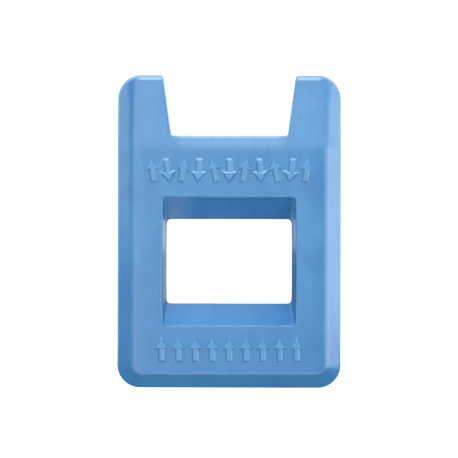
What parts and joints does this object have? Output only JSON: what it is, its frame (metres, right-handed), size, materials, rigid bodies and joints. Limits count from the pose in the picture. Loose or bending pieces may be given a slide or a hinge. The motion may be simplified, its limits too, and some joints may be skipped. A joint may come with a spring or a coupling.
{
  "type": "demagnetizer",
  "caption": "Pocket magnetizer and demagnetizer: a flat moulded block with a window that magnetizes a tool tip and a notch between two prongs that demagnetizes it.",
  "frame": {"origin": "middle of the outline, on the surface that the block lies on when it rests on its back", "axes": "+X across the two prongs, +Y from the base bar towards the prong tips, +Z out of the front face with the raised marks"},
  "size_m": [0.0358, 0.05, 0.0117],
  "materials": {
    "body_plastic": "satin moulded, light blue",
    "ferrite": "sintered and ground, charcoal grey",
    "adhesive": "cured, smooth, pale amber"
  },
  "bodies": {
    "root": {"rear_shell": "body_plastic", "front_shell": "body_plastic", "crossbar_magnet": "ferrite", "base_magnet": "ferrite", "crossbar_adhesive": "adhesive", "base_adhesive": "adhesive"}
  },
  "joints": []
}
